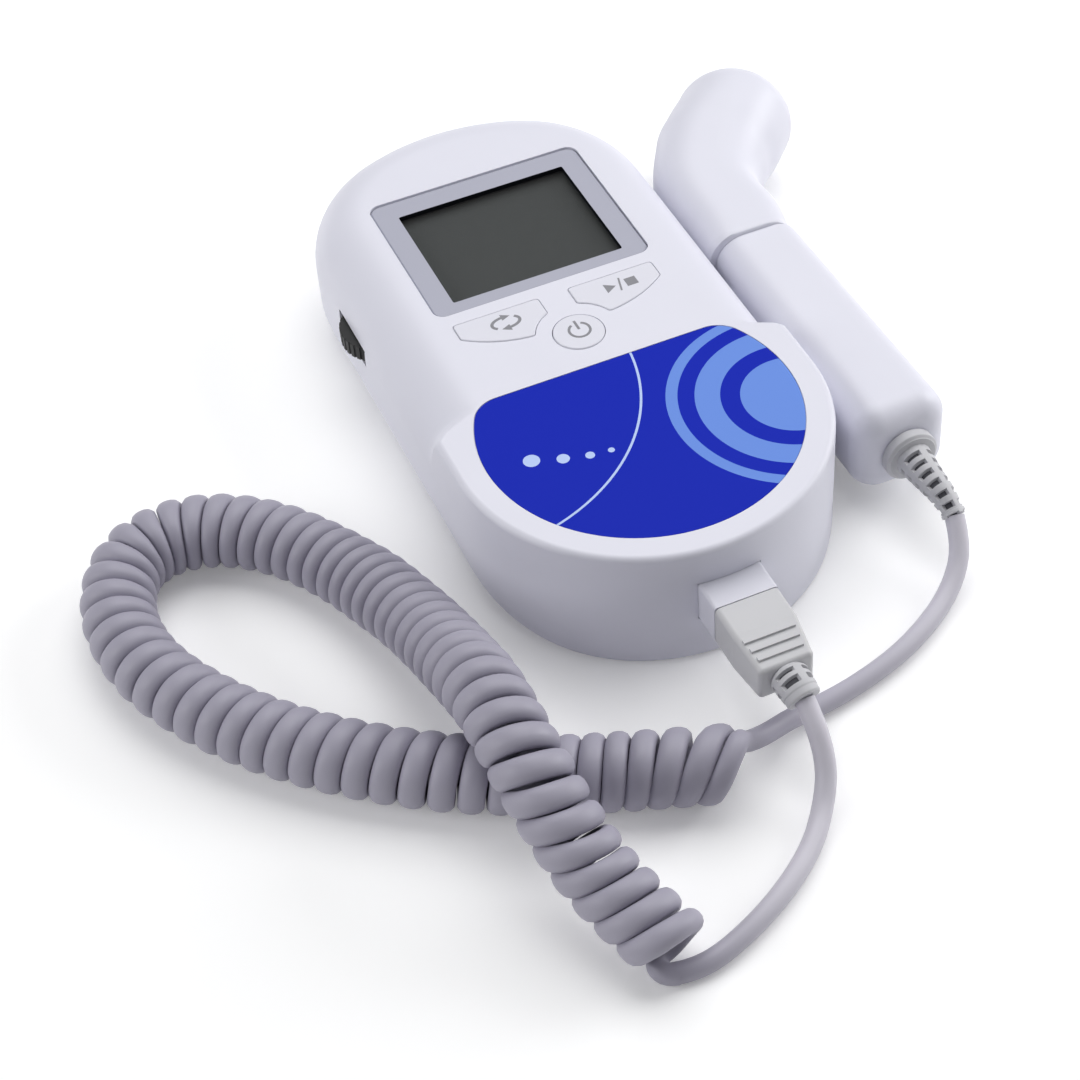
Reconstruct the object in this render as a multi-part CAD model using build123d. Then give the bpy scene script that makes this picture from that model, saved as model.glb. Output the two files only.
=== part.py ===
from build123d import *
import math
import os

# Pocket fetal doppler monitor with a corded probe resting in its side cradle.
# Millimetres.  +Z is up out of the display face, +Y runs towards the display end.
# The origin is on the flat underside, at the middle of the casing's length.

# ---- driving dimensions of the casing ----
HALF_LENGTH = 67.5
HALF_WIDTH = 34.2
HEIGHT = 26.2
TOP_END_RADIUS = 44.0
TOP_CORNER_RADIUS = 28.0
CRISP_RIM = 1.2          # edge radius of the face round the label
SOFT_SHOULDER = 11.0     # edge radius of the face round the display
RIM_CHANGE = (-23.0, -17.0)   # y between which the crisp rim becomes the soft shoulder
UNDER_NOSE = 1.5         # edge radius of the underside at the socket end
UNDER_SIDE = 7.0         # edge radius of the underside elsewhere
WALL = 2.0
PARTING_Z = 5.0
STATION_STEP = 8.0
GAP = 0.15               # fitting gap round keys, bezel, label and door

# ---- display ----
DISPLAY_Y, BEZEL_Y = 24.85, 25.8
BEZEL_W, BEZEL_H = 43.4, 36.4
WINDOW_W, WINDOW_H = 34.4, 28.4
BEZEL_BASE_Z, BEZEL_TOP_Z = 24.9, 25.95
LCD_TOP_Z = 23.7

# ---- keys ----
POWER_Y, POWER_R = -7.7, 4.75
KEY_HOLLOW_R = 7.95                   # round the power key, in the two side keys
SIDE_KEY_CURVE = (5.6, 17.7, 22.75)       # centre and radius of the side keys' lower edge
KEY_TOP_Z = HEIGHT + 0.15
KEY_FLANGE_Z = (23.2, 24.1)

# ---- label ----
LABEL_R, LABEL_Y, LABEL_TOP_Y, LABEL_CORNER = 28.9, -33.5, -17.1, 6.0
LABEL_Z, LABEL_T = 25.85, 0.3

# ---- battery compartment, two AA cells side by side ----
CELL_R, CELL_LENGTH = 7.25, 50.5
CELL_Z = 9.55
BAY_X, BAY_Y0, BAY_Y1, BAY_TOP = 16.9, -14.6, 44.0, 17.0
DOOR_TONGUE = 1.15

# ---- boards ----
BOARD_Z, BOARD_T = 18.8, 1.6
BOARD_TOP = BOARD_Z + BOARD_T
CASE_SCREWS = [(22, 47), (-22, 47), (24, -40), (-24, -40)]
BOARD_SCREWS = [(25.5, -26), (-25.5, -26), (25.5, 38), (-25.5, 38)]

# ---- volume wheel, proud of the left side ----
WHEEL_X, WHEEL_Y, WHEEL_Z = -28.2, 22.5, 15.0
WHEEL_R, WHEEL_T, WHEEL_SHAFT = 8.0, 3.0, 1.5

# ---- headphone socket in the display end ----
JACK_Z, JACK_BORE, JACK_BARREL = 14.5, 1.8, 3.0

# ---- loudspeaker facing down ----
SPEAKER_Y, SPEAKER_R = -42.0, 14.0

# ---- probe socket in the round end, and its plug ----
SOCKET_X, SOCKET_W, SOCKET_Z0, SOCKET_Z1, SOCKET_Y = 0.7, 11.8, 10.0, 18.5, -73.3
PINS = [SOCKET_X + dx for dx in (-2.4, -0.8, 0.8, 2.4)]
PLUG_SEAM = 0.2
PLUG_Z = (SOCKET_Z0 + SOCKET_Z1) / 2
PLUG_Y0, PLUG_SHOULDER_Y, PLUG_Y1 = SOCKET_Y - PLUG_SEAM, -80.1, -88.4
PLUG_REAR_W, PLUG_REAR_H = 10.0, 6.8
PLUG_REAR_SHIFT = -0.3                 # the rear end stands this far over to the left
PLUG_BOOT_TIP = (1.0, -93.5, 13.5)

# ---- probe ----
HANDLE_X, HANDLE_Z, HANDLE_SIZE, HANDLE_CORNER = 44.9, 12.3, 18.5, 5.5
HANDLE_TAIL_Y, SEAM_Y = -49.2, 8.4
SEAM_W, SEAM_SHIFT = 17.6, -0.45         # the handle narrows on its outer side towards the seam
HEAD_HEIGHT, HEAD_CORNER = 20.3, 6.0
HEAD_BEND_Y = 31.0
HEAD_CENTRE = (61.1, 52.6)
HEAD_R, HEAD_FACE, HEAD_ROUND = 12.2, 7.7, 8.0
TAIL_ROUND, COLLAR_R, BOOT_NECK = 4.8, 5.1, 4.0
LENS_R, LENS_T = 7.2, 2.0
BOOT_TIP = (45.7, -65.0, 9.5)

# ---- cradle for the probe, on the right side ----
CRADLE_X = 34.35
CRADLE_PEGS = (-24, -4)

# ---- cord ----
CORD_R = 1.8
COIL_R = 6.6
PROBE_LEAD = [
    BOOT_TIP, (45.0, -68.5, 6.8), (42.6, -72.0, 3.8), (38.0, -75.7, 1.85), (31.8, -79.7, CORD_R),
    (25.4, -82.8, CORD_R), (19.0, -84.9, CORD_R), (12.6, -86.4, CORD_R), (6.6, -87.4, 2.1), (0.8, -88.8, 3.6),
    (-4.4, -90.4, 6.1), (-9.2, -92.0, 8.8), (-13.6, -93.7, 10.6),
]
COIL = [
    (-13.4, -94.9, COIL_R), (-27.9, -89.6, COIL_R), (-42.3, -83.6, COIL_R), (-56.1, -76.2, COIL_R),
    (-69.7, -65.8, COIL_R), (-80.2, -55.3, COIL_R), (-87.8, -44.5, COIL_R), (-93.1, -33.6, COIL_R),
    (-95.0, -22.5, COIL_R), (-93.2, -12.9, COIL_R), (-88.6, -6.2, COIL_R), (-81.0, -3.5, COIL_R),
    (-72.7, -5.2, COIL_R), (-64.3, -11.1, COIL_R), (-57.5, -19.9, COIL_R), (-51.8, -31.3, COIL_R + 0.4),
    (-48.2, -45.8, 9.7), (-46.8, -61.1, 14.7), (-46.3, -75.5, 20.2), (-46.4, -88.7, 20.2),
    (-44.9, -99.8, 14.7), (-41.9, -110.7, 8.6), (-37.4, -121.9, COIL_R),
]
PLUG_LEAD = [
    (-41.0, -121.5, 2.6), (-36.9, -123.9, CORD_R), (-31.0, -124.9, CORD_R), (-24.9, -122.9, CORD_R),
    (-18.6, -120.0, CORD_R), (-12.6, -116.4, CORD_R), (-7.0, -112.0, CORD_R), (-2.9, -107.4, 2.6),
    (-0.2, -103.7, 5.4), (0.8, -100.6, 8.4), (1.0, -97.0, 11.6), PLUG_BOOT_TIP,
]


# ---------------------------------------------------------------- helpers

def ease(start, end, value):
    """0 before start, 1 after end, smooth between."""
    t = min(max((value - start) / (end - start), 0.0), 1.0)
    return t * t * (3 - 2 * t)


def block(x0, x1, y0, y1, z0, z1):
    """A box from its limits."""
    return Pos((x0 + x1) / 2, (y0 + y1) / 2, (z0 + z1) / 2) * Box(x1 - x0, y1 - y0, z1 - z0)


def post(x, y, z0, z1, radius):
    """A vertical cylinder from z0 to z1."""
    return Pos(x, y, (z0 + z1) / 2) * Cylinder(radius, z1 - z0)


def rod(x, z, y0, y1, radius):
    """A cylinder along Y from y0 to y1."""
    return Pos(x, (y0 + y1) / 2, z) * Rot(90, 0, 0) * Cylinder(radius, abs(y1 - y0))


def rod_x(x0, x1, y, z, radius):
    """A cylinder along X from x0 to x1."""
    return Pos((x0 + x1) / 2, y, z) * Rot(0, 90, 0) * Cylinder(radius, x1 - x0)


def slab(sketch, z0, z1):
    """A flat outline made solid from z0 to z1."""
    return Pos(0, 0, z0) * extrude(sketch, z1 - z0, dir=(0, 0, 1))


def rounded_slab(cx, cy, width, height, corner, z0, z1):
    return slab(Pos(cx, cy) * RectangleRounded(width, height, corner), z0, z1)


def unit(a, b):
    """The direction from a to b."""
    return (Vector(*b) - Vector(*a)).normalized()


def centreline(points):
    """Straight runs joined by tangent arcs, each arc as large as its two runs allow."""
    vectors = [Vector(*p) for p in points]
    radii = []
    for before, here, after in zip(vectors, vectors[1:], vectors[2:]):
        turn = math.radians((here - before).get_angle(after - here))
        shorter = min((here - before).length, (after - here).length)
        radii.append(0.45 * shorter / math.tan(turn / 2))
    return FilletPolyline(*vectors, radius=radii), radii


def tube(name, points, radius):
    """A round tube along the centreline of the points."""
    path, radii = centreline(points)
    solid = sweep(Plane(origin=path @ 0, z_dir=path % 0) * Circle(radius), path=path)
    share = solid.volume / (math.pi * radius**2 * path.length)
    print(f"{name}: length {path.length:.0f} mm, smallest bend {min(radii):.1f} mm, "
          f"bends {[round(r) for r in radii]}, volume {share:.3f} of section x length")
    return solid


# ---------------------------------------------------------------- casing

def casing_stations():
    """Points and outward normals round the casing's widest outline, from the display end's middle."""
    round_y = HALF_WIDTH - HALF_LENGTH
    end_y = HALF_LENGTH - TOP_END_RADIUS
    corner_x = HALF_WIDTH - TOP_CORNER_RADIUS
    corner_y = end_y + math.sqrt((TOP_END_RADIUS - TOP_CORNER_RADIUS) ** 2 - corner_x**2)
    corner_start = math.atan2(corner_x, corner_y - end_y)
    half = []

    def arc(cx, cy, radius, start, end):
        count = max(2, round((end - start) * radius / STATION_STEP))
        for i in range(1, count + 1):
            a = start + (end - start) * i / count
            half.append((cx + radius * math.sin(a), cy + radius * math.cos(a), math.sin(a), math.cos(a)))

    half.append((0, HALF_LENGTH, 0, 1))
    arc(0, end_y, TOP_END_RADIUS, 0, corner_start)
    arc(corner_x, corner_y, TOP_CORNER_RADIUS, corner_start, math.pi / 2)
    # the straight side, with closer stations where the rim changes
    low, high = RIM_CHANGE
    count = round((corner_y - high) / STATION_STEP)
    sides = [corner_y + (high - corner_y) * i / count for i in range(1, count + 1)]
    sides += [high + (low - high) * i / 3 for i in (1, 2, 3)]
    sides += [(low + round_y) / 2, round_y]
    half += [(HALF_WIDTH, y, 1, 0) for y in sides]
    arc(0, round_y, HALF_WIDTH, math.pi / 2, math.pi)
    return half + [(-x, y, -nx, ny) for x, y, nx, ny in half[-2:0:-1]]


def rolled_inset(radius, depth):
    """How far a rounded edge stands in at that depth below it."""
    if depth >= radius:
        return 0.0
    return radius - math.sqrt(radius**2 - (radius - depth) ** 2)


def casing_form(inset):
    """The casing's whole volume, drawn in by an inset: crisp rim at the label, soft shoulders above."""
    stations = casing_stations()
    ring = stations + stations[:1]
    places = [0.0]
    for a, b in zip(ring, ring[1:]):
        places.append(places[-1] + math.hypot(b[0] - a[0], b[1] - a[1]))
    places = [p / places[-1] for p in places]
    low, high = inset, HEIGHT - inset
    depths = [0, 0.2, 0.7, 1.6, 3.0, 5.0, 7.5, 10.5]
    levels = [low + d for d in depths] + [HEIGHT / 2] + [high - d for d in reversed(depths)]
    sections = []
    for z in levels:
        points = []
        for x, y, nx, ny in stations:
            shoulder = CRISP_RIM + (SOFT_SHOULDER - CRISP_RIM) * ease(*RIM_CHANGE, y)
            under = UNDER_NOSE + (UNDER_SIDE - UNDER_NOSE) * ease(-64, -30, y)
            step = inset + rolled_inset(max(under - inset, 0.8), z - low)
            step += rolled_inset(max(shoulder - inset, 0.8), high - z)
            points.append(Vector(x - nx * step, y - ny * step, z))
        sections.append(Wire([Edge.make_spline(points, periodic=True, parameters=places)]))
    return Solid.make_loft(sections)


def display_opening(width, height, grow, z0, z1, corner=2.2, centre=DISPLAY_Y):
    return rounded_slab(0, centre, width + 2 * grow, height + 2 * grow, corner, z0, z1)


def label_outline(grow):
    """A disc cut off by a straight top edge, with rounded corners."""
    disc = Pos(0, LABEL_Y) * Circle(LABEL_R + grow)
    below = LABEL_Y - LABEL_R - 5
    keep = Pos(0, (LABEL_TOP_Y + grow + below) / 2) * Rectangle(80, LABEL_TOP_Y + grow - below)
    cut = disc & keep
    corners = cut.vertices().filter_by(lambda v: v.Y > LABEL_TOP_Y - 1)
    return fillet(corners, LABEL_CORNER)


def side_key_outline(side, grow=0.0):
    """The mode (side -1) and start/stop (side +1) keys: straight top, hollowed out round the power key."""
    x0, x1, y0, y1 = 3.0 - grow, 20.0 + grow, -8.0, 4.3 + grow
    outline = Pos(side * (x0 + x1) / 2, (y0 + y1) / 2) * Rectangle(x1 - x0, y1 - y0)
    outline &= Pos(side * SIDE_KEY_CURVE[0], SIDE_KEY_CURVE[1]) * Circle(SIDE_KEY_CURVE[2] + grow)
    outline -= Pos(0, POWER_Y) * Circle(KEY_HOLLOW_R - grow)
    return fillet(outline.vertices(), 0.7 + grow)


def power_outline(grow=0.0):
    return Pos(0, POWER_Y) * Circle(POWER_R + grow)


def wheel_slot():
    return block(-40, -30, WHEEL_Y - 6.9, WHEEL_Y + 6.9, WHEEL_Z - 1.9, WHEEL_Z + 1.9)


def shell():
    return casing_form(0.0) - casing_form(WALL)


def front_case(whole):
    body = whole & block(-60, 60, -90, 90, PARTING_Z, 40)
    for x, y in CASE_SCREWS:
        body += post(x, y, PARTING_Z + 0.2, HEIGHT - WALL + 0.3, 2.8)
    for x, y in BOARD_SCREWS:
        body += post(x, y, BOARD_TOP, HEIGHT - WALL + 0.3, 2.2)
    body -= display_opening(BEZEL_W, BEZEL_H, GAP, BEZEL_BASE_Z, HEIGHT + 1, centre=BEZEL_Y)
    body -= display_opening(38.0, 31.5, 0, 20, BEZEL_BASE_Z)
    for grown in (side_key_outline(-1, GAP), side_key_outline(1, GAP), power_outline(GAP)):
        body -= slab(grown, 22, HEIGHT + 1)
    body -= slab(label_outline(0.12), LABEL_Z, HEIGHT + 1)
    body -= wheel_slot()
    half = SOCKET_W / 2 + 0.05
    body -= block(SOCKET_X - half, SOCKET_X + half, -75, -60, SOCKET_Z0 - 0.05, SOCKET_Z1 + 0.05)
    body -= rod(0, JACK_Z, 60, 75, JACK_BARREL + 0.05)
    for y in CRADLE_PEGS:
        body -= rod_x(28, 40, y, 12.5, 1.45)
    for x, y in CASE_SCREWS:
        body -= post(x, y, PARTING_Z, PARTING_Z + 9, 1.0)
    for x, y in BOARD_SCREWS:
        body -= post(x, y, BOARD_TOP - 1, BOARD_TOP + 3, 0.75)
    return body


def door_space(grow):
    """The part of the rear case that the battery door takes."""
    return block(-BAY_X - grow, BAY_X + grow, BAY_Y0 - grow, 90, -5, PARTING_Z + 1)


def rear_case(whole):
    body = whole & block(-60, 60, -90, 90, -5, PARTING_Z)
    body -= door_space(0)
    outer = BAY_X + 2.7
    box = block(-outer, outer, BAY_Y0 - 1.5, BAY_Y1 + 1.5, 0.5, BAY_TOP + 1.2)
    box -= block(-BAY_X, BAY_X, BAY_Y0, BAY_Y1, -5, BAY_TOP)
    box -= block(-BAY_X, BAY_X, BAY_Y1 - 1, 90, -5, 2.15)
    body += box
    groove = BAY_X + DOOR_TONGUE
    body -= block(-groove, groove, BAY_Y0, 90, 0.95, 2.15)
    ring = post(0, SPEAKER_Y, 1.5, 5.0, SPEAKER_R + 1.4) - post(0, SPEAKER_Y, 1.0, 6.0, SPEAKER_R + 0.1)
    body += ring
    for x, y in CASE_SCREWS:
        body += post(x, y, 0.4, PARTING_Z, 3.3)
        body -= post(x, y, -1, 2.8, 2.3)
        body -= post(x, y, -1, 6, 1.15)
    # loudspeaker grille: five slots through the floor
    for i in range(-2, 3):
        length = 17 - 3 * abs(i)
        body -= Pos(0, SPEAKER_Y + 4 * i) * slab(SlotOverall(length, 1.6), -1, 3)
    return body


def battery_door(whole):
    body = whole & block(-60, 60, -90, 90, -5, PARTING_Z - GAP)
    body = body & door_space(-GAP)
    tongue = BAY_X + DOOR_TONGUE - GAP
    body += block(-tongue, tongue, BAY_Y0 + GAP, BAY_Y1 - 2, 1.1, 2.0)
    # finger ridges across the outside
    for i in range(5):
        y = 20 + 2.6 * i
        body -= Pos(0, y, 0) * Rot(0, 90, 0) * Cylinder(0.55, 16)
    return body


# ---------------------------------------------------------------- display and keys

def lcd_bezel():
    frame = display_opening(BEZEL_W, BEZEL_H, 0, BEZEL_BASE_Z, BEZEL_TOP_Z, centre=BEZEL_Y)
    frame -= display_opening(WINDOW_W, WINDOW_H, 0, 20, 30, corner=0.4)
    top = frame.faces().sort_by(Axis.Z)[-1]
    return chamfer(top.outer_wire().edges(), 0.25)


def lcd_window():
    return display_opening(37.6, 31.1, 0, 24.1, BEZEL_BASE_Z)


def lcd_panel():
    return display_opening(37.0, 30.5, 0, 21.4, LCD_TOP_Z, corner=0.5)


def lcd_tray():
    frame = display_opening(40.6, 34.1, 0, BOARD_TOP, 23.9, corner=1.5)
    frame -= display_opening(37.2, 30.7, 0, 21.2, 30, corner=0.6)
    frame -= block(-15.2, 15.2, DISPLAY_Y - 14.6, DISPLAY_Y - 12.0, 20, 22)
    return frame


def lcd_strip():
    """Elastomer strip that joins the display's contacts to the board."""
    return block(-15, 15, DISPLAY_Y - 14.4, DISPLAY_Y - 12.2, BOARD_TOP, 21.4)


def key(outline, flange):
    cap = slab(outline, KEY_FLANGE_Z[1] - 0.2, KEY_TOP_Z)
    rim = cap.faces().sort_by(Axis.Z)[-1].outer_wire().edges()
    cap = chamfer(rim, 0.15)
    return cap + slab(flange, *KEY_FLANGE_Z)


def side_key(side):
    return key(side_key_outline(side), side_key_outline(side, 0.7))


def power_button():
    return key(power_outline(), power_outline(0.7))


def keypad_mat():
    """Silicone mat with one dome under each key."""
    mat = rounded_slab(0, -4.3, 41, 19, 2, BOARD_TOP, 21.3)
    for x, y in ((-12, 0.5), (12, 0.5), (0, POWER_Y)):
        mat += Pos(x, y, 21.3) * Cone(2.6, 1.5, 1.2, align=(Align.CENTER, Align.CENTER, Align.MIN))
    return mat


# ---------------------------------------------------------------- inside

def main_board():
    board = rounded_slab(0, 6, 58, 74, 3, BOARD_Z, BOARD_TOP)
    board += block(-6, 6, 42, 60, BOARD_Z, BOARD_TOP)
    for x, y in BOARD_SCREWS:
        board -= post(x, y, BOARD_Z - 1, BOARD_TOP + 1, 1.0)
    return board


def board_chips():
    """Processor, audio amplifier, and supply chips on the board under the label."""
    chips = [(0, -22, 10, 10, 1.6), (14, -20, 6, 5, 1.4), (-14, -22, 7, 5, 1.5), (-20, -16, 4, 4, 1.2),
             (20, -16, 3, 4, 1.2)]
    return Part() + [block(x - w / 2, x + w / 2, y - h / 2, y + h / 2, BOARD_TOP, BOARD_TOP + t)
                     for x, y, w, h, t in chips]


def screws(places, head_z, head_r, head_t, shank_r, length):
    """Pan-head screws driven upwards, head at the bottom, with a cross recess."""
    group = Part()
    for x, y in places:
        screw = post(x, y, head_z, head_z + head_t, head_r) + post(x, y, head_z, head_z + length, shank_r)
        for turn in (0, 90):
            screw -= Pos(x, y, head_z) * Rot(0, 0, turn) * Box(head_r * 1.2, 0.4, 1.0)
        group += screw
    return group


def volume_wheel():
    """Thumbwheel with a serrated rim."""
    wheel = post(WHEEL_X, WHEEL_Y, WHEEL_Z - WHEEL_T / 2, WHEEL_Z + WHEEL_T / 2, WHEEL_R)
    wheel -= post(WHEEL_X, WHEEL_Y, 0, 30, WHEEL_SHAFT + 0.05)
    teeth = 36
    for i in range(teeth):
        a = 2 * math.pi * i / teeth
        x, y = WHEEL_X + WHEEL_R * math.cos(a), WHEEL_Y + WHEEL_R * math.sin(a)
        wheel -= post(x, y, 0, 30, 0.28)
    return wheel


def volume_pot():
    """Potentiometer under the board, with the fixed post that the wheel turns on."""
    body = block(WHEEL_X - 3.0, WHEEL_X + 3.75, WHEEL_Y - 3.75, WHEEL_Y + 3.75, 17.0, BOARD_Z)
    return body + post(WHEEL_X, WHEEL_Y, WHEEL_Z - WHEEL_T / 2 - 0.4, 17.2, WHEEL_SHAFT)


def headphone_jack():
    body = block(-4, 4, 53, 64.3, 11.3, BOARD_Z)
    body += rod(0, JACK_Z, 64.0, HALF_LENGTH + 0.1, JACK_BARREL)
    return body - rod(0, JACK_Z, 55.5, 70, JACK_BORE)


def speaker_frame():
    ring = post(0, SPEAKER_Y, 2.0, 4.0, SPEAKER_R) - post(0, SPEAKER_Y, 1, 5, SPEAKER_R - 2)
    basket = Pos(0, SPEAKER_Y, 6.0) * Cone(SPEAKER_R - 0.8, 7.6, 4.0)
    basket -= Pos(0, SPEAKER_Y, 5.8) * Cone(SPEAKER_R - 2.2, 6.6, 4.4)
    return ring + basket


def speaker_cone():
    cone = Pos(0, SPEAKER_Y, 4.4) * Cone(SPEAKER_R - 2.3, 4.0, 3.2)
    cone -= Pos(0, SPEAKER_Y, 4.0) * Cone(SPEAKER_R - 2.7, 3.6, 3.2)
    return cone


def speaker_magnet():
    return post(0, SPEAKER_Y, 8.0, 11.5, 7.6) + post(0, SPEAKER_Y, 7.0, 8.2, 3.2)


def battery(x, nub):
    """An AA cell along Y; nub is +1 where its button end faces the display end."""
    mid = (BAY_Y0 + BAY_Y1) / 2 + 1.6 * nub
    half = CELL_LENGTH / 2
    can = rod(x, CELL_Z, mid - nub * half, mid + nub * (half - 1.2), CELL_R)
    can = fillet(can.edges(), 0.6)
    return can + rod(x, CELL_Z, mid + nub * (half - 1.4), mid + nub * half, 2.7)


def battery_springs():
    """Flattened coil spring on a plate at each cell's flat end."""
    group = Part()
    for x, nub in ((-7.6, 1), (7.6, -1)):
        wall = BAY_Y0 if nub > 0 else BAY_Y1
        plate = block(x - 5, x + 5, min(wall, wall + nub * 0.4), max(wall, wall + nub * 0.4), 5, 14)
        for i in range(4):
            y = wall + nub * (0.8 + 0.85 * i)
            plate += Pos(x, y, CELL_Z) * Rot(90, 0, 0) * Torus(4.2 - 0.45 * i, 0.5)
        group += plate
    return group


def battery_plates():
    """Contact plates at the cells' button ends."""
    group = Part()
    for x, nub in ((-7.6, 1), (7.6, -1)):
        wall = BAY_Y1 if nub > 0 else BAY_Y0
        y0, y1 = sorted((wall, wall - nub * 0.5))
        dome = sorted((wall - nub * 0.4, wall - nub * 0.85))
        group += block(x - 5, x + 5, y0, y1, 5, 14) + rod(x, CELL_Z, dome[0], dome[1], 2.2)
    return group


# ---------------------------------------------------------------- socket and plug

def socket_housing():
    half = SOCKET_W / 2
    body = block(SOCKET_X - half, SOCKET_X + half, SOCKET_Y, -63, SOCKET_Z0, SOCKET_Z1)
    body = fillet(body.edges().filter_by(Axis.Y), 0.6)
    body += block(SOCKET_X - 7.5, SOCKET_X + 7.5, -64.3, -62.6, 8.6, 19.9)
    body -= block(SOCKET_X - 4.2, SOCKET_X + 4.2, SOCKET_Y - 1, -66.3, PLUG_Z - 2.5, PLUG_Z + 2.5)
    for x in PINS:
        body -= rod(x, PLUG_Z, -68, -60, 0.35)
    return body


def socket_contacts():
    return Part() + [rod(x, PLUG_Z, -71.5, -60.5, 0.35) for x in PINS]


def plug_contacts():
    """The plug's tongue, with a hole for each socket pin."""
    body = block(SOCKET_X - 4.05, SOCKET_X + 4.05, PLUG_Y0, -66.6, PLUG_Z - 2.35, PLUG_Z + 2.35)
    for x in PINS:
        body -= rod(x, PLUG_Z, -72.2, -60, 0.45)
    return body


def plug_body():
    """Overmoulded grip: straight behind the socket, then tapering in plan and in height."""
    height = SOCKET_Z1 - SOCKET_Z0
    rear_x = SOCKET_X + PLUG_REAR_SHIFT
    drop = (height - PLUG_REAR_H) / 2
    rings = [(SOCKET_X, PLUG_Y0, SOCKET_W, height), (SOCKET_X, PLUG_SHOULDER_Y, SOCKET_W, height),
             (rear_x, PLUG_Y1, PLUG_REAR_W, PLUG_REAR_H)]
    body = loft([Plane(origin=(x, y, PLUG_Z), x_dir=(1, 0, 0), z_dir=(0, -1, 0)) * RectangleRounded(w, h, 1.0)
                 for x, y, w, h in rings], ruled=True)
    body = fillet(body.faces().sort_by(Axis.Y)[0].edges(), 0.8)
    for i in range(3):
        y = -82.0 - 2.0 * i
        width = 9.4 - 0.6 * i
        fall = drop * (PLUG_SHOULDER_Y - y) / (PLUG_SHOULDER_Y - PLUG_Y1)
        for z in (SOCKET_Z1 - fall, SOCKET_Z0 + fall):
            body += Pos(rear_x, y, z) * Box(width, 0.9, 0.8)
    return body


def bent_boot(rings):
    """A flexible sleeve lofted through (centre, direction, radius) rings."""
    return Solid.make_loft([Wire.make_circle(r, Plane(origin=Vector(*c), z_dir=Vector(*d)))
                            for c, d, r in rings])


def plug_boot():
    aim = unit(PLUG_LEAD[-2], PLUG_BOOT_TIP) * -1
    tip = Vector(*PLUG_BOOT_TIP)
    start = Vector(SOCKET_X, PLUG_Y1, PLUG_Z)
    return bent_boot([(start, (0, -1, 0), 3.3), (start * 0.5 + tip * 0.5 + Vector(0, -0.1, 0.15),
                      (aim + Vector(0, -1, 0)) * 0.5, 3.25), (tip, aim, 3.05)])


# ---------------------------------------------------------------- probe

def handle_section(y, width, height, corner, shift=0.0):
    """A rounded rectangle across the handle at y, moved sideways by a shift."""
    plane = Plane(origin=(HANDLE_X + shift, y, HANDLE_Z), x_dir=(1, 0, 0), z_dir=(0, 1, 0))
    return plane * RectangleRounded(width, height, corner)


def head_direction():
    return unit((HANDLE_X, HEAD_BEND_Y, HANDLE_Z), (*HEAD_CENTRE, HANDLE_Z))


def head_plane(distance, shift=0.0):
    """A plane across the head's axis, that far from its centre, moved sideways by a shift."""
    along = head_direction()
    side = Vector(along.Y, -along.X, 0)
    centre = Vector(*HEAD_CENTRE, HANDLE_Z) + along * distance + side * shift
    return Plane(origin=centre, x_dir=side, z_dir=along)


def probe_handle():
    body = loft([handle_section(HANDLE_TAIL_Y, HANDLE_SIZE, HANDLE_SIZE, HANDLE_CORNER),
                 handle_section(SEAM_Y, SEAM_W, HANDLE_SIZE, HANDLE_CORNER, SEAM_SHIFT)], ruled=True)
    tail = body.faces().sort_by(Axis.Y)[0]
    body = fillet(tail.edges(), TAIL_ROUND)
    inner = handle_section(HANDLE_TAIL_Y + 4, SEAM_W - 4, HANDLE_SIZE - 4, HANDLE_CORNER - 2, SEAM_SHIFT)
    hollow = extrude(inner, SEAM_Y - HANDLE_TAIL_Y)
    body -= hollow
    return body - rod(HANDLE_X, HANDLE_Z, HANDLE_TAIL_Y - 1, HANDLE_TAIL_Y + 6, 4.0)


def probe_head():
    """Elbowed head: square at the seam, fuller on the outside of the elbow, round at the listening end."""
    along = head_direction()
    bend = Vector(HANDLE_X, HEAD_BEND_Y, HANDLE_Z)
    half_turn = (along + Vector(0, 1, 0)).normalized()
    side = Vector(half_turn.Y, -half_turn.X, 0)
    mid = Plane(origin=bend, x_dir=side, z_dir=half_turn)
    collar = handle_section(SEAM_Y + 1.5, 18.0, HEAD_HEIGHT, HEAD_CORNER, -1.5)
    neck = loft([
        collar,
        handle_section(SEAM_Y + 9, 19.6, HEAD_HEIGHT, HEAD_CORNER + 0.8, -0.5),
        mid * RectangleRounded(20.8, 20.9, 8.2),
        head_plane(-14, -1.8) * RectangleRounded(23.2, 21.8, 9.8),
        head_plane(-3) * RectangleRounded(2 * HEAD_R - 0.2, 2 * HEAD_R - 0.2, HEAD_R - 0.3),
    ])
    lip = loft([handle_section(SEAM_Y, SEAM_W, HANDLE_SIZE, HANDLE_CORNER, SEAM_SHIFT), collar])
    bowl = head_plane(-8) * Cylinder(HEAD_R, HEAD_FACE + 8, align=(Align.CENTER, Align.CENTER, Align.MIN))
    ends = bowl.edges().sort_by(lambda e: (e.center() - bend).dot(along))
    bowl = fillet(ends[-1], HEAD_ROUND)
    body = neck + lip + bowl
    hollow = extrude(handle_section(SEAM_Y - 1, 13, 13, 4, -0.6), 22)
    hollow += head_plane(-28) * Cylinder(6.5, 30, align=(Align.CENTER, Align.CENTER, Align.MIN))
    hollow += head_plane(0) * Sphere(8.2)
    hollow += head_plane(3) * Cylinder(6.3, 4, align=(Align.CENTER, Align.CENTER, Align.MIN))
    body -= hollow
    body -= head_plane(HEAD_FACE - LENS_T) * Cylinder(LENS_R + 0.05, 10,
                                                      align=(Align.CENTER, Align.CENTER, Align.MIN))
    return body


def probe_lens():
    """Slightly domed window over the transducer."""
    disc = head_plane(HEAD_FACE - LENS_T) * Cylinder(LENS_R, LENS_T + 0.5,
                                                     align=(Align.CENTER, Align.CENTER, Align.MIN))
    dome = head_plane(HEAD_FACE + 0.5 - 45) * Sphere(45)
    return disc & dome


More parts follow.
